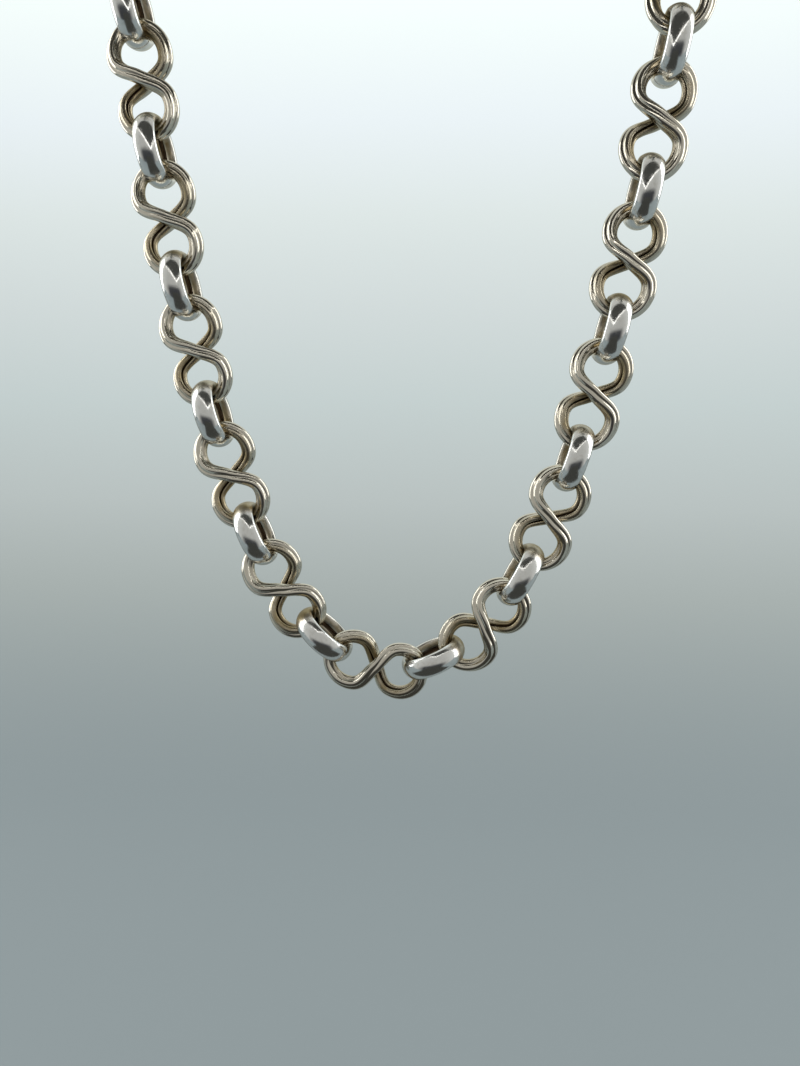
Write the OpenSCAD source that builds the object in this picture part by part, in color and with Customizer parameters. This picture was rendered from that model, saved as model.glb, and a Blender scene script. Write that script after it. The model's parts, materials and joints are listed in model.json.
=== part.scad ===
/* [Figure-of-eight links] */
// Diameter of the wire that the links are bent from
fig_wire = 2.1; // [1.8:0.05:2.2]
// Width of a link, outside to outside
fig_width = 8.6; // [8.4:0.1:9.4]
// Length of a link, end to end
fig_length = 15.3; // [15:0.1:16.5]
// Angle between the crossing strands and the link's length, in degrees
cross_angle = 54; // [48:1:60]

/* [Belcher rings] */
// Outside diameter of a ring
ring_od = 9.2; // [9:0.1:10]
// Width of the band
ring_band = 2.9; // [2.2:0.1:2.9]
// Thickness of the band at the top of its dome
ring_wall = 1.2; // [1:0.05:1.3]
// Width of the open seam around the inside of the hollow band
seam_w = 0.5; // [0.3:0.05:0.8]

/* [Jump rings] */
// Outside diameter of the round-wire rings next to the clasp
jump_od = 9.2; // [8.8:0.1:10]
// Diameter of their wire
jump_wire = 1.4; // [1.1:0.05:1.6]

/* [Clasp] */
// Distance from the middle of the eye to the middle of the hook
clasp_span = 16; // [15:0.5:20]
// Diameter of the hook's round stock
hook_wire = 2; // [1.8:0.05:2.2]
// Thickness of the housing, front to back
housing_t = 3.6; // [3.2:0.1:4.2]
// Thickness of the lever, front to back
lever_t = 0.8; // [0.6:0.05:1]
// Diameter of the pin that the lever turns on
pin_d = 0.9; // [0.7:0.05:1]

/* [Drape] */
// Radius of curvature at the lowest point of the hanging chain
drape_a = 12.4; // [11.5:0.1:16]
// Length of chain from the lowest point to the middle of the bottom link
bottom_shift = -2.9; // [-3.5:0.1:3.5]
// Gap left between two links that hang on each other
link_gap = 0.08; // [0.06:0.01:0.15]

/* [Hidden] */

// The chain hangs in the XZ plane, fastened, with its front to -Y. The origin is the middle of
// the clasp's underside, where the closed necklace rests on the back of the neck.
left = -1;
right = 1;
links_a_side = 12;
silver = [0.80, 0.79, 0.76];
steel = [0.60, 0.61, 0.63];
// sides of a ring's round, and of round stock
ring_sides = 72;
stock_sides = 32;

// ---- sizes worked out from the driving dimensions

// the loops at a link's two ends: their centreline radius, and the clear hole inside the wire
loop_r = (fig_width - fig_wire) / 2;
loop_hole_r = loop_r - fig_wire / 2;
fig_span = fig_length - fig_width;
// cross-sections along the wire, and sides of each
fig_rings = 44;
fig_sides = 10;
// the gap between the two strands where they cross, and how far each is from the middle there
strand_gap = 0.1;
cross_y = (fig_wire + strand_gap) / 2;
// each loop is round to this far either side of its end
loop_sweep = 105;
// how straight a strand is as it leaves the crossing
strand_pull = 1.02;

ring_r = ring_od / 2;
ring_in_r = ring_r - ring_wall;
// half the flat of the inner face, the bevel beside it, and the band's thickness at its edges
band_flat = 1;
band_bevel = 0.35;
edge_wall = 0.5;
seam_depth = 0.45;
dome_sides = 96;
// from a loop's centre to the inner face of the band that hangs in it, whose edges touch first
ring_seat = sqrt(pow(loop_hole_r - link_gap, 2) - pow(band_flat, 2));
ring_reach = 2 * (ring_in_r + ring_seat);

jump_in_r = jump_od / 2 - jump_wire;
// the clasp's eye and hook, to the middle of their stock
eye_wire = 1.7;
eye_r = 2.2;
hook_r = 3;
jump_reach = 2 * jump_in_r + loop_hole_r - link_gap + eye_r - eye_wire / 2 - link_gap;
catch_reach = 2 * jump_in_r + loop_hole_r - link_gap + hook_r - hook_wire / 2 - link_gap;

// ---- the curve of the hanging chain, by length s from its lowest point, as [x, z]

// a catenary up to length sj on each side, closed over the top by part of a circle
function slope_at(s) = atan(s / drape_a);
function catenary(s) = [drape_a * ln((s + sqrt(s * s + drape_a * drape_a)) / drape_a),
    sqrt(s * s + drape_a * drape_a) - drape_a];
function top_r(sj) = catenary(sj)[0] / sin(slope_at(sj));
function over_top(t, sj) =
    let (r = top_r(sj), turn = slope_at(sj) + (t - sj) / r * 180 / PI)
    [r * sin(turn), catenary(sj)[1] + r * (cos(slope_at(sj)) - cos(turn))];
function drape(s, sj) =
    let (t = abs(s), p = t <= sj ? catenary(t) : over_top(t, sj))
    [sign(s) * p[0], p[1]];

// the s that is a straight step of length reach away from s, on the given side
function step_to(s, reach, side, sj, at, tries = 9) =
    tries == 0 ? at :
    step_to(s, reach, side, sj, at + side * (reach - norm(drape(at, sj) - drape(s, sj))), tries - 1);
function reach_of(n, side) =
    n == 2 * links_a_side ? (side == left ? jump_reach : catch_reach) :
    n % 2 == 0 ? ring_reach : fig_span;
// every loop centre on one side, from the bottom link's up to the clasp's
function climb(s, side, sj, n = 0) =
    n > 2 * links_a_side ? [s] :
    let (reach = reach_of(n, side))
    concat([s], climb(step_to(s, reach, side, sj, s + side * reach), side, sj, n + 1));
function bottom_s(side, sj) =
    let (low = bottom_shift - fig_span / 2)
    side == left ? low : step_to(low, fig_span, right, sj, low + fig_span);
function strand(side, sj) = [for (s = climb(bottom_s(side, sj), side, sj)) drape(s, sj)];

// the catenary's length at which the two ends come one clasp apart
function top_gap(sj) =
    let (ends = strand(right, sj)[2 * links_a_side + 1] - strand(left, sj)[2 * links_a_side + 1])
    sign(ends[0]) * norm(ends);
function fit_join(low, high, tries = 26) =
    let (mid = (low + high) / 2)
    tries == 0 ? mid :
    top_gap(mid) < clasp_span ? fit_join(mid, high, tries - 1) : fit_join(low, mid, tries - 1);
shortest_join = 100;
longest_join = 220;
join_s = fit_join(shortest_join, longest_join);
left_loops = strand(left, join_s);
right_loops = strand(right, join_s);
function loop_at(side, n) = side == left ? left_loops[n] : right_loops[n];

// the clasp lies along the last gap, its underside on the origin
clasp_ends = [loop_at(left, 2 * links_a_side + 1), loop_at(right, 2 * links_a_side + 1)];
clasp_dir = (clasp_ends[1] - clasp_ends[0]) / clasp_span;
clasp_up = [-clasp_dir[1], clasp_dir[0]];
under_clasp = (clasp_ends[0] + clasp_ends[1]) / 2 - (hook_r + hook_wire / 2) * clasp_up;

// puts a piece drawn along X between two points of the curve
module span(a, b) {
    mid = (a + b) / 2 - under_clasp;
    translate([mid[0], 0, mid[1]])
        rotate([0, -atan2(b[1] - a[1], b[0] - a[0]), 0])
            children();
}

// ---- a round wire swept along a path, whose tangent never lies along Y

function unit(v) = v / norm(v);
function corner(i, j, rings, sides) = (i % rings) * sides + j % sides;
module swept(path, r, sides, closed) {
    rings = len(path);
    before = [for (i = [0 : rings - 1]) closed ? (i + rings - 1) % rings : max(i - 1, 0)];
    after = [for (i = [0 : rings - 1]) closed ? (i + 1) % rings : min(i + 1, rings - 1)];
    points = [for (i = [0 : rings - 1])
        let (ahead = unit(path[after[i]] - path[before[i]]),
            across = unit(cross(ahead, [0, 1, 0])),
            up = cross(across, ahead))
        for (j = [0 : sides - 1]) let (turn = 360 * (j + 0.5) / sides)
            path[i] + r * (cos(turn) * across + sin(turn) * up)];
    skin = [for (i = [0 : closed ? rings - 1 : rings - 2], j = [0 : sides - 1])
        each [
            [corner(i, j, rings, sides), corner(i, j + 1, rings, sides), corner(i + 1, j, rings, sides)],
            [corner(i, j + 1, rings, sides), corner(i + 1, j + 1, rings, sides),
                corner(i + 1, j, rings, sides)]
        ]];
    first_end = [for (j = [sides - 1 : -1 : 0]) j];
    last_end = [for (j = [0 : sides - 1]) (rings - 1) * sides + j];
    polyhedron(points, closed ? skin : concat(skin, [first_end, last_end]));
}

// ---- figure-of-eight link

// where each half of the wire's path leaves the crossing and joins the round of the loop
join_p = [fig_span / 2 + loop_r * cos(loop_sweep), -loop_r * sin(loop_sweep)];
join_dir = [sin(loop_sweep), cos(loop_sweep)];
cross_dir = [cos(cross_angle), -sin(cross_angle)];
strand_len = strand_pull * norm(join_p);
strand_part = strand_len / (2 * strand_len + loop_r * loop_sweep * PI / 90);

function strand_curve(u) =
    (3 * u * u - 2 * u * u * u) * join_p
    + strand_len * ((u - 2 * u * u + u * u * u) * cross_dir + (u * u * u - u * u) * join_dir);
function round_curve(turn) = [fig_span / 2 + loop_r * cos(turn), loop_r * sin(turn)];
// one loop, from the crossing round its end and back, for v from 0 to 1
function loop_curve(v) =
    v < strand_part ? strand_curve(v / strand_part) :
    v > 1 - strand_part ? let (p = strand_curve((1 - v) / strand_part)) [p[0], -p[1]] :
    round_curve(loop_sweep * (2 * (v - strand_part) / (1 - 2 * strand_part) - 1));
// the whole closed path, for u from 0 to 1, with one strand in front of the other
function fig_path(u) =
    let (w = u - floor(u), way = w < 0.5 ? 1 : -1, v = w < 0.5 ? 2 * w : 2 * w - 1, p = loop_curve(v))
    [way * p[0], way * cross_y * pow(cos(180 * v), 3), p[1]];

module figure_eight() {
    color(silver)
        swept([for (i = [0.5 : fig_rings]) fig_path(i / fig_rings)], fig_wire / 2, fig_sides, true);
}
module figure_link(side, k) {
    n = 2 * (links_a_side - k) + 1;
    span(loop_at(side, n), loop_at(side, n + 1)) figure_eight();
}
module bottom_link() {
    span(loop_at(left, 0), loop_at(right, 0)) figure_eight();
}

// ---- belcher ring, a hollow domed band with its open seam on the inside

module band_section() {
    half = ring_band / 2;
    dome_h = ring_wall - edge_wall;
    dome_r = (half * half + dome_h * dome_h) / (2 * dome_h);
    difference() {
        intersection() {
            translate([ring_r - dome_r, 0]) circle(r = dome_r, $fn = dome_sides);
            polygon([[ring_in_r, -band_flat], [ring_in_r + band_bevel, -half], [ring_r, -half],
                [ring_r, half], [ring_in_r + band_bevel, half], [ring_in_r, band_flat]]);
        }
        translate([ring_in_r - seam_depth, -seam_w / 2]) square([2 * seam_depth, seam_w]);
    }
}
module belcher_ring() {
    color(silver) rotate_extrude($fn = ring_sides) band_section();
}
module belcher_link(side, k) {
    n = 2 * (links_a_side - k);
    span(loop_at(side, n), loop_at(side, n + 1)) belcher_ring();
}

// ---- round-wire rings next to the clasp

module wire_ring() {
    color(silver) rotate_extrude($fn = ring_sides)
        translate([jump_in_r + jump_wire / 2, 0]) circle(d = jump_wire, $fn = stock_sides);
}
// a ring sits off the middle of its gap when the loops at its two ends differ
module end_ring(side, far_hole) {
    n = 2 * links_a_side;
    span(loop_at(side, n), loop_at(side, n + 1))
        translate([(loop_hole_r - far_hole) / 2, 0, 0]) wire_ring();
}
module jump_ring() end_ring(left, eye_r - eye_wire / 2);
module catch_ring() end_ring(right, hook_r - hook_wire / 2);

// ---- lobster clasp, drawn with its eye to -X, its hook to +X and its lever on top

eye_x = -clasp_span / 2;
hook_x = clasp_span / 2;
// the hook's end, in degrees up from its middle
hook_tip = 100;
// the round housing, and the slot through its top that the lever and the spring stand in
housing_x = eye_x + 5.6;
housing_r = 3.7;
slot_x = eye_x + 3;
slot_t = 1.8;
slot_floor = -0.4;
// the lever, with its pin's place and the room round the pin
pivot = [eye_x + 6.4, 1.3];
pin_gap = 0.05;
lever_w = 1.5;
hub_r = 1.4;
// its nose stops just short of the hook's tip, and its thumb tab stands clear of the housing
tip_gap = 0.2;
tip_drop = 0.1;
hook_end = [hook_x + hook_r * cos(hook_tip), hook_r * sin(hook_tip)];
nose = hook_end - [lever_w / 2 + tip_gap, tip_drop];
tab = pivot + [-2.3, 3];
// the spring's coil, from its front
spring_wire = 0.14;
spring_r = 0.8;
spring_front = -0.78;
spring_pitch = 0.15;
spring_turns = 2;
spring_step = 24;
spring_sides = 8;

module clasp_place() {
    span(clasp_ends[0], clasp_ends[1]) children();
}
// stands a flat outline, drawn in x and z, up with the given thickness in y
module upright(t) {
    rotate([90, 0, 0]) linear_extrude(height = t, center = true) children();
}
module bar(a, b, w) {
    along = b - a;
    translate(a) rotate(atan2(along[1], along[0]))
        translate([0, -w / 2]) square([norm(along), w]);
    translate(b) circle(d = w, $fn = stock_sides);
}
module hook() {
    translate([hook_x, 0, 0]) rotate([90, 0, 0]) rotate([0, 0, -90])
        rotate_extrude(angle = 90 + hook_tip, $fn = ring_sides)
            translate([hook_r, 0]) circle(d = hook_wire, $fn = stock_sides);
    translate([housing_x, 0, -hook_r]) rotate([0, 90, 0])
        cylinder(h = hook_x - housing_x, d = hook_wire, $fn = stock_sides);
}
module housing() {
    difference() {
        upright(housing_t) translate([housing_x, 0]) circle(r = housing_r, $fn = ring_sides);
        translate([slot_x, -slot_t / 2, slot_floor]) cube([2 * housing_r, slot_t, 2 * housing_r]);
        translate([pivot[0], 0, pivot[1]]) rotate([90, 0, 0])
            cylinder(h = 2 * housing_t, d = pin_d, center = true, $fn = stock_sides);
    }
}
module clasp_body() {
    color(silver) clasp_place() {
        translate([eye_x, 0, 0]) rotate([90, 0, 0])
            rotate_extrude($fn = ring_sides) translate([eye_r, 0]) circle(d = eye_wire, $fn = stock_sides);
        housing();
        hook();
    }
}
module clasp_lever() {
    color(silver) clasp_place() upright(lever_t) difference() {
        union() {
            translate(pivot) circle(r = hub_r, $fn = ring_sides);
            bar(pivot, nose, lever_w);
            bar(pivot, tab, lever_w);
        }
        translate(pivot) circle(r = pin_d / 2 + pin_gap, $fn = stock_sides);
    }
}
module clasp_pin() {
    color(steel) clasp_place() translate([pivot[0], 0, pivot[1]]) rotate([90, 0, 0])
        cylinder(h = housing_t, d = pin_d, center = true, $fn = stock_sides);
}
// a coil round the pin in front of the lever, with one leg down to the slot's floor
function spring_path() = concat(
    [[-spring_r, spring_front, slot_floor - pivot[1] + spring_wire / 2]],
    [for (turn = [0 : spring_step : 360 * spring_turns])
        [-spring_r * cos(turn), spring_front + spring_pitch * turn / 360, spring_r * sin(turn)]]);
module clasp_spring() {
    color(steel) clasp_place() translate([pivot[0], 0, pivot[1]])
        swept(spring_path(), spring_wire / 2, spring_sides, false);
}

// ---- the nodes

module figure_eight_bottom() bottom_link();
module figure_eight_left_01() figure_link(left, 1);
module figure_eight_left_02() figure_link(left, 2);
module figure_eight_left_03() figure_link(left, 3);
module figure_eight_left_04() figure_link(left, 4);
module figure_eight_left_05() figure_link(left, 5);
module figure_eight_left_06() figure_link(left, 6);
module figure_eight_left_07() figure_link(left, 7);
module figure_eight_left_08() figure_link(left, 8);
module figure_eight_left_09() figure_link(left, 9);
module figure_eight_left_10() figure_link(left, 10);
module figure_eight_left_11() figure_link(left, 11);
module figure_eight_left_12() figure_link(left, 12);
module belcher_ring_left_01() belcher_link(left, 1);
module belcher_ring_left_02() belcher_link(left, 2);
module belcher_ring_left_03() belcher_link(left, 3);
module belcher_ring_left_04() belcher_link(left, 4);
module belcher_ring_left_05() belcher_link(left, 5);
module belcher_ring_left_06() belcher_link(left, 6);
module belcher_ring_left_07() belcher_link(left, 7);
module belcher_ring_left_08() belcher_link(left, 8);
module belcher_ring_left_09() belcher_link(left, 9);
module belcher_ring_left_10() belcher_link(left, 10);
module belcher_ring_left_11() belcher_link(left, 11);
module belcher_ring_left_12() belcher_link(left, 12);
module figure_eight_right_01() figure_link(right, 1);
module figure_eight_right_02() figure_link(right, 2);
module figure_eight_right_03() figure_link(right, 3);
module figure_eight_right_04() figure_link(right, 4);
module figure_eight_right_05() figure_link(right, 5);
module figure_eight_right_06() figure_link(right, 6);
module figure_eight_right_07() figure_link(right, 7);
module figure_eight_right_08() figure_link(right, 8);
module figure_eight_right_09() figure_link(right, 9);
module figure_eight_right_10() figure_link(right, 10);
module figure_eight_right_11() figure_link(right, 11);
module figure_eight_right_12() figure_link(right, 12);
module belcher_ring_right_01() belcher_link(right, 1);
module belcher_ring_right_02() belcher_link(right, 2);
module belcher_ring_right_03() belcher_link(right, 3);
module belcher_ring_right_04() belcher_link(right, 4);
module belcher_ring_right_05() belcher_link(right, 5);
module belcher_ring_right_06() belcher_link(right, 6);
module belcher_ring_right_07() belcher_link(right, 7);
module belcher_ring_right_08() belcher_link(right, 8);
module belcher_ring_right_09() belcher_link(right, 9);
module belcher_ring_right_10() belcher_link(right, 10);
module belcher_ring_right_11() belcher_link(right, 11);
module belcher_ring_right_12() belcher_link(right, 12);

figure_eight_bottom();
figure_eight_left_01();
figure_eight_left_02();
figure_eight_left_03();
figure_eight_left_04();
figure_eight_left_05();
figure_eight_left_06();
figure_eight_left_07();
figure_eight_left_08();
figure_eight_left_09();
figure_eight_left_10();
figure_eight_left_11();
figure_eight_left_12();
belcher_ring_left_01();
belcher_ring_left_02();
belcher_ring_left_03();
belcher_ring_left_04();
belcher_ring_left_05();
belcher_ring_left_06();
belcher_ring_left_07();
belcher_ring_left_08();
belcher_ring_left_09();
belcher_ring_left_10();
belcher_ring_left_11();
belcher_ring_left_12();
figure_eight_right_01();
figure_eight_right_02();
figure_eight_right_03();
figure_eight_right_04();
figure_eight_right_05();
figure_eight_right_06();
figure_eight_right_07();
figure_eight_right_08();
figure_eight_right_09();
figure_eight_right_10();
figure_eight_right_11();
figure_eight_right_12();
belcher_ring_right_01();
belcher_ring_right_02();
belcher_ring_right_03();
belcher_ring_right_04();
belcher_ring_right_05();
belcher_ring_right_06();
belcher_ring_right_07();
belcher_ring_right_08();
belcher_ring_right_09();
belcher_ring_right_10();
belcher_ring_right_11();
belcher_ring_right_12();
jump_ring();
catch_ring();
clasp_body();
clasp_lever();
clasp_pin();
clasp_spring();
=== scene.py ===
import json
import math

import bmesh
import bpy
from mathutils import Matrix, Vector


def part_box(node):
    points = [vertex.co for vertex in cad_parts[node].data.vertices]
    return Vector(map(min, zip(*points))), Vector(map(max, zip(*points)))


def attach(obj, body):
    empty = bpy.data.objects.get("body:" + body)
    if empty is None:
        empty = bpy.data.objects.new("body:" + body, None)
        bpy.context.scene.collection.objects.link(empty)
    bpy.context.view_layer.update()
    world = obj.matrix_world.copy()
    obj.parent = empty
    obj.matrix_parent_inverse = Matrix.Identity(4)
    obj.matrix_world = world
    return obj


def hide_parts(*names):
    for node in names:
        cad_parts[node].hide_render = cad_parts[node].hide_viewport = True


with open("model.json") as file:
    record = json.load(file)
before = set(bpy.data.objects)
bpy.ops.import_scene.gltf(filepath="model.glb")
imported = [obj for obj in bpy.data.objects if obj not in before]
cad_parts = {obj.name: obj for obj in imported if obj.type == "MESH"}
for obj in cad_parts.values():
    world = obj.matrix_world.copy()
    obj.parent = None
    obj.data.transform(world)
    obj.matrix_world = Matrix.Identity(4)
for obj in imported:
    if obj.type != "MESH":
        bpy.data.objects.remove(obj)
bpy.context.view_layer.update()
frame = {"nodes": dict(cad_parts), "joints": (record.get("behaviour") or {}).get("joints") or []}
scene = bpy.context.scene
joints = {j["child"]: j for j in frame["joints"]}
mm = 0.001
linksASide = 12
sides = ("left", "right")
endRings = {"left": "jump_ring", "right": "catch_ring"}     # what the top link of each side hangs from
print("frame loaded:", len(frame["nodes"]), "CAD nodes")


# where each link lies, read from the frame

def middle(cadNode):
    low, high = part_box(cadNode)
    return (low + high) / 2


def pivotOf(body):
    return Vector(joints[body]["pos_m"])


def ringDirection(side, k):
    # points down the strand, from a ring's pivot on the wire above it; ring 0 is the end ring
    if k == 0:
        return (pivotOf(f"figure_eight_{side}_01") - pivotOf(endRings[side])).normalized()
    ring = f"belcher_ring_{side}_{k:02d}"
    return (middle(ring) - pivotOf(ring)).normalized()


def placeWithAxes(centre, x, y, z):
    return Matrix.Translation(centre) @ Matrix((x, y, z)).transposed().to_4x4()


# mesh helpers

def toMesh(bm, name):
    mesh = bpy.data.meshes.new(name)
    bm.to_mesh(mesh)
    bm.free()
    return mesh


def addObject(name, data):
    made = bpy.data.objects.new(name, data)
    scene.collection.objects.link(made)
    return made


def copyInPlace(master, name, place):
    mesh = master.copy()
    mesh.transform(place)
    return addObject(name, mesh)


def finishPiece(piece, cadNode, body, material):
    piece.data.materials.clear()      # this also puts every face on the first slot
    piece.data.materials.append(material)
    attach(piece, body)
    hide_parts(cadNode)


def clamped(value):
    return min(1, max(0, value))


def fixOrder(bm):
    # extrude and spin leave their parts in an order that changes from run to run
    slant = Vector((1, 1.37, 1.91))
    bm.verts.sort(key=lambda v: v.co.dot(slant))
    bm.edges.sort(key=lambda e: (e.verts[0].co + e.verts[1].co).dot(slant))
    bm.faces.sort(key=lambda f: f.calc_center_median().dot(slant))


def extrudeEdges(bm, edges, move):
    # the new edges are moved by a matrix and returned
    made = bmesh.ops.extrude_edge_only(bm, edges=edges)["geom"]
    verts = {g for g in made if isinstance(g, bmesh.types.BMVert)}
    bmesh.ops.transform(bm, matrix=move, verts=list(verts))
    return [g for g in made if isinstance(g, bmesh.types.BMEdge) and set(g.verts) <= verts]


def extrudeRound(bm, rim, places, mergeWithin):
    # carries a closed rim of edges through the places and back to the first one
    bmesh.ops.transform(bm, matrix=places[0], verts=list({v for e in rim for v in e.verts}))
    before = places[0]
    for place in places[1:] + places[:1]:
        rim = extrudeEdges(bm, rim, place @ before.inverted())
        before = place
    bmesh.ops.remove_doubles(bm, verts=bm.verts, dist=mergeWithin)
    bmesh.ops.recalc_face_normals(bm, faces=bm.faces)
    fixOrder(bm)


# the figure-of-eight link: a hollow fluted wire, closed on itself with half a twist in each strand

fluted = {
    "loopRadius": 3.25 * mm,      # centreline of the round of each loop
    "roundTo": 105,               # each loop is round to this far either side of its end, degrees
    "crossAngle": 54,             # between a crossing strand and the link's length, degrees
    "strandPull": 1.02,           # how strongly a strand keeps the directions of its two ends
    "strandDepth": 1.1 * mm,      # from the middle of the link to either strand where they cross
    "depthPower": 3,              # the higher, the closer to the crossing that depth stays
    "lobeOut": 0.48 * mm,         # middle of the wire to the middle of a lobe
    "lobeRadius": 0.49 * mm,
    "seamWidth": 0.34 * mm,
    "seamDepth": 0.46 * mm,
    # the floor, walls and lips of the seam, as parts of its depth and of half its width
    "seamShape": ((1, 0), (0.8, 0.75), (0, 1)),
    "sectionPoints": 48,
    "stations": 132,
    "lookAhead": 0.001,           # how far along the wire its direction is taken
    "mergeWithin": 0.0005 * mm,
}


def flutedRadius(turn):
    # four lobes, the first of them 45 degrees round
    away = math.radians((math.degrees(turn) % 90) - 45)
    out, radius = fluted["lobeOut"], fluted["lobeRadius"]
    return out * math.cos(away) + math.sqrt(radius ** 2 - (out * math.sin(away)) ** 2)


def linkPath(u, halfSpan):
    # a point on the wire's centreline for u from 0 to 1, which loop it is on (1 or -1), and how far
    # along that loop's part of the wire it is
    r = fluted["loopRadius"]
    sweep = math.radians(fluted["roundTo"])
    cross = math.radians(fluted["crossAngle"])
    w = u % 1
    way = 1 if w < 0.5 else -1
    v = (w * 2) % 1
    joinAt = Vector((halfSpan + r * math.cos(sweep), -r * math.sin(sweep)))
    joinDir = Vector((math.sin(sweep), math.cos(sweep)))
    crossDir = Vector((math.cos(cross), -math.sin(cross)))
    pull = fluted["strandPull"] * joinAt.length
    part = pull / (2 * pull + 2 * r * sweep)

    def strand(t):
        # from the crossing to where the round of the loop starts
        ease = 3 * t * t - 2 * t ** 3
        return ease * joinAt + pull * ((t - 2 * t * t + t ** 3) * crossDir + (t ** 3 - t * t) * joinDir)

    if v < part:
        flat = strand(v / part)
    elif v > 1 - part:
        flat = strand((1 - v) / part)
        flat = Vector((flat.x, -flat.y))
    else:
        turn = sweep * (2 * (v - part) / (1 - 2 * part) - 1)
        flat = Vector((halfSpan + r * math.cos(turn), r * math.sin(turn)))
    depth = -way * fluted["strandDepth"] * math.cos(math.pi * v) ** fluted["depthPower"]
    return Vector((way * flat.x, flat.y, depth)), way, v


def linkPlaces(halfSpan):
    # the seam lies inside each loop, and faces the other strand where the two cross
    places = []
    count = fluted["stations"]
    near = fluted["lookAhead"]
    front = Vector((0, 0, 1))
    for i in range(count):
        u = (i + 0.5) / count
        point, way, v = linkPath(u, halfSpan)
        ahead = (linkPath(u + near, halfSpan)[0] - linkPath(u - near, halfSpan)[0]).normalized()
        lean = math.pi * abs(v - 0.5)
        outward = way * math.cos(lean) * ahead.cross(front)
        outward += way * math.sin(lean) * (1 if v > 0.5 else -1) * front
        outward = (outward - outward.dot(ahead) * ahead).normalized()
        places.append(placeWithAxes(point, outward, ahead.cross(outward), ahead))
    return places


def makeLinkMesh(halfSpan):
    bm = bmesh.new()
    inner = bm.verts.layers.float.new("inner")
    seam = bm.verts.layers.float.new("seam")
    bmesh.ops.create_circle(bm, cap_ends=False, radius=1, segments=fluted["sectionPoints"])
    step = 2 * math.pi / fluted["sectionPoints"]
    for vert in bm.verts:
        turn = math.atan2(vert.co.y, vert.co.x)
        side = 1 if turn > 0 else -1
        fromSeam = math.pi - abs(turn)
        radius = flutedRadius(turn)
        stepsOff = round(fromSeam / step)     # 0 on the floor of the seam, 1 on its walls, 2 on its lips
        if stepsOff < len(fluted["seamShape"]):
            down, out = fluted["seamShape"][stepsOff]
            radius -= down * fluted["seamDepth"]
            across = out * fluted["seamWidth"] / 2 * side
            along = -math.sqrt(radius ** 2 - across ** 2)
        else:
            across = radius * math.sin(fromSeam) * side
            along = radius * math.cos(turn)
        vert.co.x = along
        vert.co.y = across
        vert[inner] = 0.5 - 0.5 * math.cos(turn)
        # the floor and walls of the seam take painted shade, with some dark tarnish
        vert[seam] = 1.0 if stepsOff < 2 else 0.0
    extrudeRound(bm, list(bm.edges), linkPlaces(halfSpan), fluted["mergeWithin"])
    mesh = toMesh(bm, "linkMaster")
    mesh.shade_smooth()
    return mesh


def addLinks(material):
    links = [(f"{side}_{k:02d}", side, k) for side in sides for k in range(1, linksASide + 1)]
    links.append(("bottom", "left", linksASide + 1))
    master = None
    for label, side, k in links:
        cadNode = f"figure_eight_{label}"
        centre = middle(cadNode)
        upper = pivotOf(cadNode) + fluted["loopRadius"] * ringDirection(side, k - 1)
        if master is None:      # every link has the first one's span
            master = makeLinkMesh((centre - upper).length)
        # local X runs along the chain, Y across it in the chain's plane, Z out of the front
        x = (centre - upper).normalized()
        y = Vector((-x.z, 0, x.x))
        piece = copyInPlace(master, f"link_{label}", placeWithAxes(centre, x, y, x.cross(y)))
        finishPiece(piece, cadNode, cadNode, material)


# the belcher ring: a domed band rolled from sheet, hollow, with its seam open on the inside

band = {
    "outerRadius": 4.6 * mm,
    "width": 2.9 * mm,
    "wall": 1.2 * mm,             # whole thickness at the top of the dome
    "edgeWall": 0.55 * mm,        # thickness at the band's edges
    "flatHalf": 1.0 * mm,         # the inner face is flat this far either side of the middle
    "flatPoint": 0.6,             # one more point on the flat, as a part of flatHalf
    "seamHalf": 0.34 * mm,
    # two points of the corner between the flat and the edge: out from the flat, and in from the edge
    "corner": ((0.1485 * mm, 0.12 * mm), (0.33 * mm, 0.02 * mm)),
    "sheet": 0.28 * mm,           # thickness of the rolled sheet
    "domeSteps": 14,
    "roundSteps": 120,
    "jointGap": 0.02 * mm,        # between the band's two ends, at the bottom of the ring
    "insideFade": 1.9,            # how soon the film of the inside gives way to the bright outside
    "upperTanFrom": 0.56,             # the upper end of a ring, where the link above passes through it, takes the film's tan and dullness: where that starts and is full, as the cosine of the angle from that end
    "upperTanTo": 0.86,               # as the cosine of the angle from that end
}


def bandOutline():
    # the outside of the sheet from one lip of the seam round to the other, as radius and width
    r = band["outerRadius"]
    half = band["width"] / 2
    innerR = r - band["wall"]
    rise = band["wall"] - band["edgeWall"]
    domeR = (half ** 2 + rise ** 2) / (2 * rise)
    reach = math.asin(half / domeR)
    flat = (band["seamHalf"], band["flatPoint"] * band["flatHalf"], band["flatHalf"])
    side = [(innerR, width) for width in flat]
    side += [(innerR + out, half - back) for out, back in band["corner"]]
    dome = []
    for i in range(band["domeSteps"] + 1):
        turn = reach * (1 - 2 * i / band["domeSteps"])
        dome.append((r - domeR + domeR * math.cos(turn), domeR * math.sin(turn)))
    return side + dome + [(a, -b) for a, b in reversed(side)]


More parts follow.
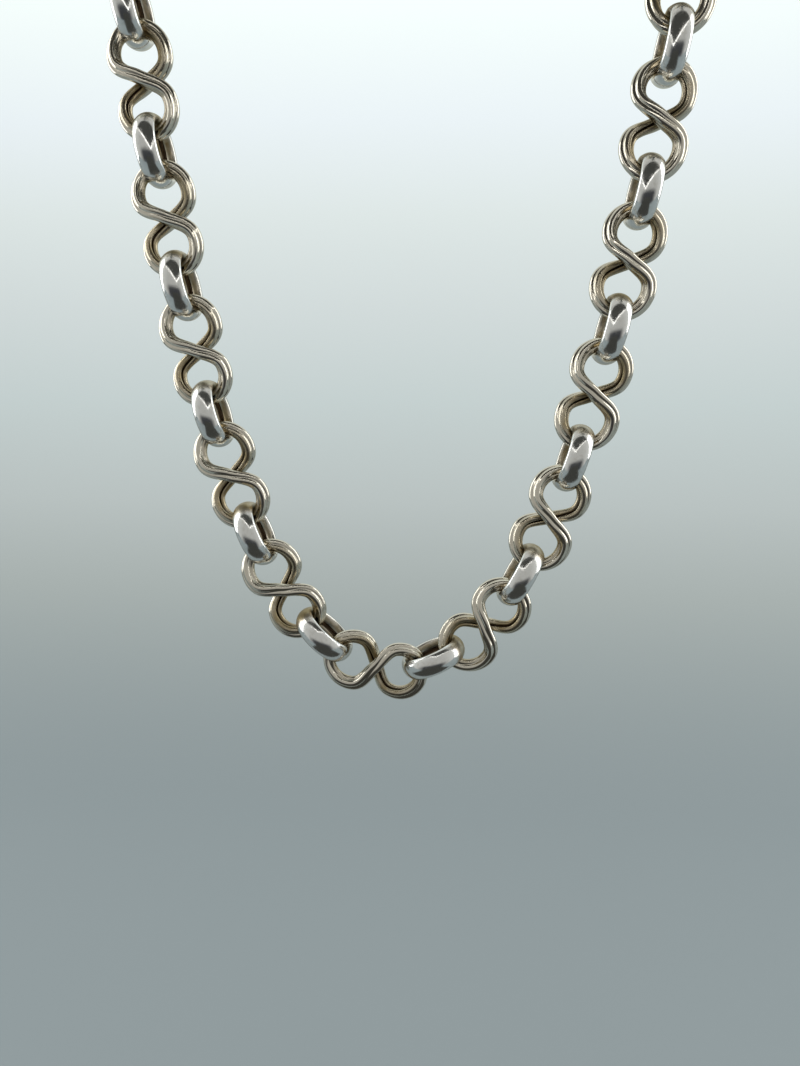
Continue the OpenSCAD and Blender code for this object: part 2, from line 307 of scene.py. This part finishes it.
def makeBandMesh():
    bm = bmesh.new()
    inner = bm.verts.layers.float.new("inner")
    bm.verts.layers.float.new("seam")
    verts = []
    for radius, width in bandOutline():
        vert = bm.verts.new((radius, 0, width))
        outside = (radius - (band["outerRadius"] - band["wall"])) / band["wall"]
        vert[inner] = 1 - clamped(outside * band["insideFade"])
        verts.append(vert)
    edges = [bm.edges.new(pair) for pair in zip(verts, verts[1:])]
    gap = band["jointGap"] / band["outerRadius"]
    bmesh.ops.spin(bm, geom=verts + edges, axis=(0, 0, 1), cent=(0, 0, 0),
                   angle=2 * math.pi - gap, steps=band["roundSteps"], use_merge=False)
    for vert in bm.verts:
        # the upper end of a ring, where the link above passes through it, takes the film's tan and
        # dullness
        upward = -math.cos(math.atan2(vert.co.y, vert.co.x))
        film = (upward - band["upperTanFrom"]) / (band["upperTanTo"] - band["upperTanFrom"])
        vert[inner] = max(vert[inner], clamped(film))
    bmesh.ops.recalc_face_normals(bm, faces=bm.faces)
    fixOrder(bm)
    shell = addObject("bandMaster", toMesh(bm, "bandMaster"))
    shell.data.shade_smooth()
    solid = shell.modifiers.new("sheet", "SOLIDIFY")
    solid.thickness = band["sheet"]
    solid.offset = -1
    outerCount = len(shell.data.vertices)
    graph = bpy.context.evaluated_depsgraph_get()
    mesh = bpy.data.meshes.new_from_object(shell.evaluated_get(graph))
    bpy.data.objects.remove(shell)
    # the modifier adds the inner shell after the outer one, and that inner shell, inside the hollow,
    # takes painted shade with some dark tarnish
    for i, value in enumerate(mesh.attributes["seam"].data):
        value.value = 1.0 if i >= outerCount else 0.0
    mesh.shade_smooth()
    return mesh


def addBands(material):
    master = makeBandMesh()
    for side in sides:
        for k in range(1, linksASide + 1):
            cadNode = f"belcher_ring_{side}_{k:02d}"
            # local X runs along the chain, and Z, the ring's axis, across it in the chain's plane
            x = ringDirection(side, k)
            z = Vector((-x.z, 0, x.x))
            place = placeWithAxes(middle(cadNode), x, z.cross(x), z)
            piece = copyInPlace(master, f"ring_{side}_{k:02d}", place)
            finishPiece(piece, cadNode, cadNode, material)


# the clasp, with the sharp edges of its castings eased

clasp = {
    "easing": 0.16 * mm,
    "easingSteps": 3,
    "sharpFrom": 32,              # edges sharper than this are eased, degrees
    "flatBelow": 1,               # edges flatter than this are dissolved, degrees
    "mergeWithin": 0.001 * mm,
}


def easedCopy(cadNode, name):
    bm = bmesh.new()
    bm.from_mesh(frame["nodes"][cadNode].data)
    bmesh.ops.remove_doubles(bm, verts=bm.verts, dist=clasp["mergeWithin"])
    flat = math.radians(clasp["flatBelow"])
    bmesh.ops.dissolve_limit(bm, angle_limit=flat, verts=bm.verts, edges=bm.edges)
    sharp = math.radians(clasp["sharpFrom"])
    edges = [e for e in bm.edges if e.is_manifold and e.calc_face_angle(0) > sharp]
    bmesh.ops.bevel(bm, geom=edges, offset=clasp["easing"], segments=clasp["easingSteps"],
                    affect="EDGES", profile=0.5, material=-1, clamp_overlap=True)
    bmesh.ops.recalc_face_normals(bm, faces=bm.faces)
    mesh = toMesh(bm, name)
    mesh.shade_smooth()
    mesh.set_sharp_from_angle(angle=sharp)
    return addObject(name, mesh)


def addClasp(material):
    finishPiece(easedCopy("clasp_body", "clasp_housing"), "clasp_body", "clasp", material)
    finishPiece(easedCopy("clasp_lever", "clasp_trigger"), "clasp_lever", "clasp_lever", material)


def dressNodes(material, cadNodes):
    # these keep the shape they have in CAD
    for cadNode in cadNodes:
        mesh = frame["nodes"][cadNode].data
        mesh.materials.clear()
        mesh.materials.append(material)


# polished silver that has tarnished where it isn't rubbed, with painted shade, and some dark tarnish, in
# the seams of the wire and rings

finishes = {
    "wireSilver": {"bright": (0.69, 0.65, 0.56), "tarnish": 1.12, "rough": 0.09, "hasInside": True},
    "bandSilver": {"bright": (0.80, 0.80, 0.78), "tarnish": 1.05, "rough": 0.15, "hasInside": True},
    "claspSilver": {"bright": (0.80, 0.79, 0.75), "tarnish": 0.5, "rough": 0.14, "hasInside": False},
    "steelWire": {"bright": (0.56, 0.56, 0.57), "tarnish": 0.3, "rough": 0.25, "hasInside": False},
}

# each pair is where something starts and is full; four numbers are such a pair and what it becomes
silverLook = {
    "tan": (0.36, 0.29, 0.17),
    # painted shade, with some dark tarnish, for the seams and the inside of the hollow
    "dark": (0.085, 0.058, 0.038),
    "edge": (0.70, 0.66, 0.58),                # how the metal reflects at a glancing angle
    "patchScale": 260,
    "patchDetail": 5,
    "fineScale": 1820,
    "fineDetail": 3,
    "grainRoughness": 0.55,
    "insideFilm": (0.42, 1.0),                 # the film by how far inside the piece a place is
    "patchFilm": (0.5, 0.8),                   # and by the patches alone, on pieces with no inside
    "patchSpread": (0.35, 0.7, 0.45, 1.15),    # the patches thin the film or thicken it
    "fineFilm": (0.52, 0.8, 0.0, 0.18),        # and the fine grain adds to it
    "paintedSeamShade": (0.2, 0.8),
    "filmDull": 0.24,                          # full film makes the metal this much rougher
    "fineDull": (0.4, 0.75, 0.0, 0.06),
    "scratchTurns": (20, 115),                 # the scratches run two ways, degrees
    "scratchAxes": (1, 0.7, 1),                # how much of that turn each axis gets
    "scratchStretch": (1, 0.06, 0.35),
    "scratchScale": 4420,
    "scratchLines": (0.56, 0.7),
    "scratchHeight": -0.12,
    "dentScale": 900,
    "bumpDetail": 2,
    "bumpStrength": 0.55,
    "bumpDistance": 0.02 * mm,
}


def node(tree, kind, **settings):
    made = tree.nodes.new(kind)
    for key, value in settings.items():
        setattr(made, key, value)
    return made


def feed(tree, socket, value):
    # a socket takes another node's output, a colour or a number
    if isinstance(value, bpy.types.NodeSocket):
        tree.links.new(value, socket)
    elif isinstance(value, tuple):
        socket.default_value = (*value, 1)
    else:
        socket.default_value = value


def mixColour(tree, factor, first, second):
    # inputs 6 and 7 and output 2 are the Mix node's colours
    mix = node(tree, "ShaderNodeMix", data_type="RGBA")
    feed(tree, mix.inputs[0], factor)
    feed(tree, mix.inputs[6], first)
    feed(tree, mix.inputs[7], second)
    return mix.outputs[2]


def remap(tree, value, low, high, outLow=0.0, outHigh=1.0):
    made = node(tree, "ShaderNodeMapRange", clamp=True)
    for socket, number in zip(made.inputs, (value, low, high, outLow, outHigh)):
        feed(tree, socket, number)
    return made.outputs[0]


def mathNode(tree, operation, *values):
    made = node(tree, "ShaderNodeMath", operation=operation)
    for socket, value in zip(made.inputs, values):
        feed(tree, socket, value)
    return made.outputs[0]


def noiseNode(tree, vector, scale, detail):
    made = node(tree, "ShaderNodeTexNoise")
    made.inputs["Scale"].default_value = scale
    made.inputs["Detail"].default_value = detail
    made.inputs["Roughness"].default_value = silverLook["grainRoughness"]
    tree.links.new(vector, made.inputs["Vector"])
    return made.outputs["Fac"]


def attributeNode(tree, name):
    return node(tree, "ShaderNodeAttribute", attribute_name=name).outputs["Fac"]


def makeSilver(name, bright, tarnish, rough, hasInside):
    look = silverLook
    material = bpy.data.materials.new(name)
    material.use_nodes = True
    tree = material.node_tree
    shader = tree.nodes["Principled BSDF"]
    shader.inputs["Metallic"].default_value = 1.0
    shader.inputs["Specular Tint"].default_value = (*look["edge"], 1)
    place = node(tree, "ShaderNodeTexCoord").outputs["Object"]
    patches = noiseNode(tree, place, look["patchScale"], look["patchDetail"])
    fine = noiseNode(tree, place, look["fineScale"], look["fineDetail"])
    if hasInside:
        film = remap(tree, attributeNode(tree, "inner"), *look["insideFilm"])
    else:
        film = remap(tree, patches, *look["patchFilm"])
    film = mathNode(tree, "MULTIPLY", film, remap(tree, patches, *look["patchSpread"]))
    film = mathNode(tree, "ADD", film, remap(tree, fine, *look["fineFilm"]))
    film = mathNode(tree, "MULTIPLY", film, tarnish)
    film = remap(tree, film, 0.0, 1.0)
    colour = mixColour(tree, film, bright, look["tan"])
    if hasInside:
        # painted shade: the seam and the inside of the hollow are darkened
        seam = remap(tree, attributeNode(tree, "seam"), *look["paintedSeamShade"])
        colour = mixColour(tree, seam, colour, look["dark"])
    tree.links.new(colour, shader.inputs["Base Color"])
    dull = remap(tree, film, 0.0, 1.0, rough, rough + look["filmDull"])
    dull = mathNode(tree, "ADD", dull, remap(tree, fine, *look["fineDull"]))
    tree.links.new(dull, shader.inputs["Roughness"])
    # fine scratches that run two ways, and soft dents
    scratches = []
    for turn in look["scratchTurns"]:
        stretch = node(tree, "ShaderNodeMapping")
        angles = [math.radians(turn * part) for part in look["scratchAxes"]]
        stretch.inputs["Rotation"].default_value = angles
        stretch.inputs["Scale"].default_value = look["scratchStretch"]
        tree.links.new(place, stretch.inputs["Vector"])
        lines = noiseNode(tree, stretch.outputs[0], look["scratchScale"], look["bumpDetail"])
        scratches.append(remap(tree, lines, *look["scratchLines"]))
    marks = mathNode(tree, "MAXIMUM", *scratches)
    dents = noiseNode(tree, place, look["dentScale"], look["bumpDetail"])
    height = mathNode(tree, "ADD", mathNode(tree, "MULTIPLY", marks, look["scratchHeight"]), dents)
    bump = node(tree, "ShaderNodeBump")
    bump.inputs["Strength"].default_value = look["bumpStrength"]
    bump.inputs["Distance"].default_value = look["bumpDistance"]
    tree.links.new(height, bump.inputs["Height"])
    tree.links.new(bump.outputs[0], shader.inputs["Normal"])
    return material


silver = {name: makeSilver(name, **values) for name, values in finishes.items()}
print("silver mixed")
addLinks(silver["wireSilver"])
print("figure-of-eight links made")
addBands(silver["bandSilver"])
print("belcher rings made")
addClasp(silver["claspSilver"])
dressNodes(silver["steelWire"], ("clasp_pin", "clasp_spring"))
dressNodes(silver["claspSilver"], ("jump_ring", "catch_ring"))
print("clasp eased and dressed")


# the studio: a pale sweep behind and below, its light painted in as a glow that dims towards the floor,
# in a room of soft light

studio = {
    "floorZ": -0.300,
    "backY": 0.42,
    "sweepRadius": 0.25,
    "sweepHalf": 1.6,             # half its width
    "sweepFront": -0.15,
    "sweepRise": 0.9,             # how far it goes on up above its curve
    "sweepSteps": 24,
    "paper": (0.22, 0.235, 0.24),
    "paperRough": 0.9,
    "paintedGlowTop": 0.10,
    # painted light: how brightly the paper glows, from the floor, 0, to its top, 1: the two ends, then
    # those between
    "glow": (
        (0.0, (0.035, 0.061, 0.07)),
        (1.0, (0.771, 0.838, 0.819)),
        (0.8225, (0.659, 0.717, 0.743)),
        (0.68, (0.561, 0.616, 0.606)),
        (0.5375, (0.468, 0.517, 0.513)),
        (0.39, (0.368, 0.427, 0.422)),
        (0.24, (0.278, 0.314, 0.307)),
        (0.1275, (0.169, 0.197, 0.186)),
    ),
    # the room, as the metal reflects it
    "roomPale": (0.62, 0.63, 0.61),
    "roomAbove": (0.60, 0.60, 0.57),
    "roomFront": (0.46, 0.46, 0.44),
    "roomFloor": (0.045, 0.047, 0.052),
    "roomSeen": (0.55, 0.60, 0.60),
    # where each of these starts and is full, as parts of a direction of length 1
    "aboveRange": (0.40, 0.80),
    "frontRange": (-0.2, -0.8),
    "floorAside": (0.85, 0.55),
    "floorDepth": (0.2, -0.1),
    "floorUpward": (-0.04, -0.24),
}


def makeSweep():
    bm = bmesh.new()
    width, front, floor, r = (studio[key] for key in ("sweepHalf", "sweepFront", "floorZ", "sweepRadius"))
    start = [bm.verts.new((x, front, floor)) for x in (-width, width)]
    back = Matrix.Translation((0, studio["backY"] - r - front, 0))
    edge = extrudeEdges(bm, [bm.edges.new(start)], back)[0]
    curve = bmesh.ops.spin(bm, geom=[edge, *edge.verts], axis=(1, 0, 0), angle=math.pi / 2,
                           steps=studio["sweepSteps"], cent=(0, studio["backY"] - r, floor + r),
                           use_merge=False)
    edges = [g for g in curve["geom_last"] if isinstance(g, bmesh.types.BMEdge)]
    extrudeEdges(bm, edges, Matrix.Translation((0, 0, studio["sweepRise"])))
    sweep = addObject("sweep", toMesh(bm, "sweep"))
    sweep.data.shade_smooth()
    sweep.data.materials.append(makePaper())


def makePaper():
    material = bpy.data.materials.new("sweepPaperPaintedGlow")
    material.use_nodes = True
    tree = material.node_tree
    shader = tree.nodes["Principled BSDF"]
    shader.inputs["Base Color"].default_value = (*studio["paper"], 1)
    shader.inputs["Roughness"].default_value = studio["paperRough"]
    shader.inputs["Specular IOR Level"].default_value = 0.0
    # painted light: the paper glows, brighter towards the top and dim at the floor, instead of being lit
    shader.inputs["Emission Strength"].default_value = 1.0
    split = node(tree, "ShaderNodeSeparateXYZ")
    tree.links.new(node(tree, "ShaderNodeTexCoord").outputs["Object"], split.inputs[0])
    ramp = node(tree, "ShaderNodeValToRGB")
    stops = ramp.color_ramp.elements      # a new ramp has two
    for i, (at, glow) in enumerate(studio["glow"]):
        stop = stops[i] if i < 2 else stops.new(at)
        stop.position = at
        stop.color = (*glow, 1)
    tree.links.new(remap(tree, split.outputs[2], studio["floorZ"], studio["paintedGlowTop"]), ramp.inputs[0])
    tree.links.new(ramp.outputs[0], shader.inputs["Emission Color"])
    return material


def makeWorld():
    world = bpy.data.worlds.new("tent")
    scene.world = world
    world.use_nodes = True
    tree = world.node_tree
    back = tree.nodes["Background"]
    split = node(tree, "ShaderNodeSeparateXYZ")
    tree.links.new(node(tree, "ShaderNodeTexCoord").outputs["Generated"], split.inputs[0])
    sideways, depth, upward = split.outputs
    # a pale room with a dark stretch of floor straight ahead
    aside = remap(tree, mathNode(tree, "ABSOLUTE", sideways), *studio["floorAside"])
    ahead = mathNode(tree, "MULTIPLY", aside, remap(tree, depth, *studio["floorDepth"]))
    dark = mathNode(tree, "MULTIPLY", ahead, remap(tree, upward, *studio["floorUpward"]))
    above = remap(tree, upward, *studio["aboveRange"])
    colour = mixColour(tree, above, studio["roomPale"], studio["roomAbove"])
    colour = mixColour(tree, remap(tree, depth, *studio["frontRange"]), colour, studio["roomFront"])
    colour = mixColour(tree, dark, colour, studio["roomFloor"])
    # seen directly, the room is plain
    seen = node(tree, "ShaderNodeLightPath").outputs["Is Camera Ray"]
    colour = mixColour(tree, seen, colour, studio["roomSeen"])
    tree.links.new(colour, back.inputs["Color"])
    back.inputs["Strength"].default_value = 1.0


lamps = {
    "topBox": {"place": (0.05, -0.05, 0.45), "size": (0.45, 0.30), "power": 1.6, "inMetal": False},
    "leftBox": {"place": (-0.45, 0.05, 0.0), "size": (0.20, 0.5), "power": 0.9, "inMetal": True},
    "rightBox": {"place": (0.45, 0.05, 0.0), "size": (0.20, 0.5), "power": 0.9, "inMetal": True},
}
lampsAim = Vector((0, 0, -0.13))


def addLamp(name, place, size, power, inMetal):
    light = bpy.data.lights.new(name, "AREA")
    light.shape = "RECTANGLE"
    light.size, light.size_y = size
    light.energy = power
    lamp = addObject(name, light)
    lamp.location = place
    lamp.rotation_euler = (lampsAim - Vector(place)).to_track_quat("-Z", "Y").to_euler()
    lamp.visible_glossy = inMetal


# cards that only the metal sees, which paint reflections in it: a dark sheet for the camera over the
# lens, with a glowing strip along its lower edge in a shallow V that paints a V-shaped highlight, and a
# dark sheet for the top of the bench below the chain

cards = {
    "edgeFoot": (-0.002, -0.060, -0.128),
    "edgeWide": 0.26,             # how far each arm of the V reaches aside
    "edgeRise": 0.21,             # and up
    "edgeThick": 0.005,
    "highlightColour": (1, 0.99, 0.95),
    "highlightGlow": 3.0,
    "cameraTall": 0.55,           # from the foot of the V to the top of the camera
    "darkColour": (0.050, 0.051, 0.046),
    "benchHalf": 0.11,
    "benchFront": -0.30,
    "benchUp": 0.01,              # above the floor
}


def addCard(name, corners, colour, strength=1.0):
    bm = bmesh.new()
    bm.faces.new([bm.verts.new(c) for c in corners])
    card = addObject(name, toMesh(bm, name))
    material = bpy.data.materials.new(name)
    material.use_nodes = True
    tree = material.node_tree
    tree.nodes.remove(tree.nodes["Principled BSDF"])
    glow = node(tree, "ShaderNodeEmission")
    glow.inputs["Color"].default_value = (*colour, 1)
    glow.inputs["Strength"].default_value = strength
    tree.links.new(glow.outputs[0], tree.nodes["Material Output"].inputs["Surface"])
    card.data.materials.append(material)
    card.visible_camera = card.visible_shadow = card.visible_diffuse = False


def makeCards():
    x, y, z = cards["edgeFoot"]
    over, rise = z + cards["edgeThick"], cards["edgeRise"]
    for side, way in zip(sides, (-1, 1)):
        far = x + way * cards["edgeWide"]
        edge = [(x, y, z), (far, y, z + rise), (far, y, over + rise), (x, y, over)]
        tall = z + cards["cameraTall"]
        body = [(x, y, over), (far, y, over + rise), (far, y, tall), (x, y, tall)]
        # the glowing strip paints the highlight; the dark sheets paint dark reflections
        addCard(f"highlightCard_{side}", edge, cards["highlightColour"], cards["highlightGlow"])
        addCard(f"cameraCard_{side}", body, cards["darkColour"])
    half, front, top = cards["benchHalf"], cards["benchFront"], studio["floorZ"] + cards["benchUp"]
    bench = [(-half, front, top), (half, front, top), (half, 0, top), (-half, 0, top)]
    addCard("benchCard", bench, cards["darkColour"])


view = {
    "from": (0.0101, -0.1087, 0.0345),    # the camera, from the middle of the lowest link
    "yaw": 3.6,
    "down": 8.23,
    "roll": 0.55,
    "lens": 27.2,
    "clipStart": 0.005,
}


def makeCamera():
    camera = bpy.data.cameras.new("camera")
    camera.lens = view["lens"]
    camera.clip_start = view["clipStart"]
    holder = addObject("camera", camera)
    yaw, tilt, roll = (math.radians(a) for a in (view["yaw"], 90 - view["down"], view["roll"]))
    turn = Matrix.Rotation(yaw, 4, "Z") @ Matrix.Rotation(tilt, 4, "X") @ Matrix.Rotation(roll, 4, "Z")
    place = middle("figure_eight_bottom") + Vector(view["from"])
    holder.matrix_world = Matrix.Translation(place) @ turn
    scene.camera = holder


makeSweep()
makeWorld()
for name, values in lamps.items():
    addLamp(name, **values)
makeCards()
makeCamera()
scene.view_settings.view_transform = "Standard"
print("studio lit")
